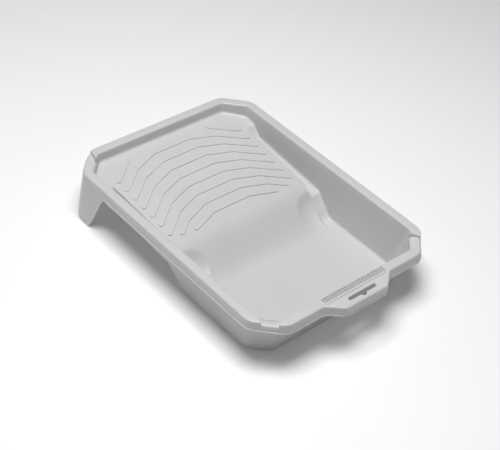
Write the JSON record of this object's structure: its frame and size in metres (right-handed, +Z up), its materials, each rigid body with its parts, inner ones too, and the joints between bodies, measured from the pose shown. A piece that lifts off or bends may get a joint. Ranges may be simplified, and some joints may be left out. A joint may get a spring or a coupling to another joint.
{
  "type": "paint roller tray",
  "caption": "One-piece moulded paint roller tray: deep well with a slope up to a ribbed roll-off ramp, side gutters, wide rim with skirt, pouring spouts, handle tab and two back legs.",
  "frame": {"origin": "middle of the tray's box in plan, on the surface that it stands on, which is the underside of the well and the feet of the two legs", "axes": "+Z up; +Y towards the shallow end with the two legs; -Y towards the deep well and its handle tab; +X to the right when looking along +Y"},
  "size_m": [0.2818, 0.3917, 0.068],
  "materials": {
    "tray_plastic": "light grey moulded polypropylene, satin, with fine flow marks and a softly polished rim"
  },
  "bodies": {
    "root": {"well_floor": "tray_plastic", "well_front_wall": "tray_plastic", "roll_off_slope": "tray_plastic", "ramp_plate": "tray_plastic", "ramp_back_wall": "tray_plastic", "well_corner_left": "tray_plastic", "outlet_left": "tray_plastic", "well_wall_left": "tray_plastic", "ramp_wall_left": "tray_plastic", "gutter_floor_left": "tray_plastic", "gutter_bank_left": "tray_plastic", "ramp_corner_left": "tray_plastic", "well_corner_right": "tray_plastic", "outlet_right": "tray_plastic", "well_wall_right": "tray_plastic", "ramp_wall_right": "tray_plastic", "gutter_floor_right": "tray_plastic", "gutter_bank_right": "tray_plastic", "ramp_corner_right": "tray_plastic", "rim_left": "tray_plastic", "skirt_left": "tray_plastic", "rim_front_left": "tray_plastic", "skirt_front_left": "tray_plastic", "rim_corner_front_left": "tray_plastic", "rim_corner_back_left": "tray_plastic", "skirt_corner_front_left": "tray_plastic", "skirt_corner_back_left": "tray_plastic", "leg_left": "tray_plastic", "rim_right": "tray_plastic", "skirt_right": "tray_plastic", "rim_front_right": "tray_plastic", "skirt_front_right": "tray_plastic", "rim_corner_front_right": "tray_plastic", "rim_corner_back_right": "tray_plastic", "skirt_corner_front_right": "tray_plastic", "skirt_corner_back_right": "tray_plastic", "leg_right": "tray_plastic", "rim_back": "tray_plastic", "skirt_back": "tray_plastic", "handle_tab": "tray_plastic", "handle_skirt": "tray_plastic", "brush_comb": "tray_plastic", "ramp_rib_1": "tray_plastic", "ramp_rib_2": "tray_plastic", "ramp_rib_3": "tray_plastic", "ramp_rib_4": "tray_plastic", "ramp_rib_5": "tray_plastic", "ramp_rib_6": "tray_plastic", "ramp_rib_7": "tray_plastic", "ramp_rib_8": "tray_plastic", "ramp_rib_stub_left": "tray_plastic", "ramp_rib_stub_right": "tray_plastic"}
  },
  "joints": []
}
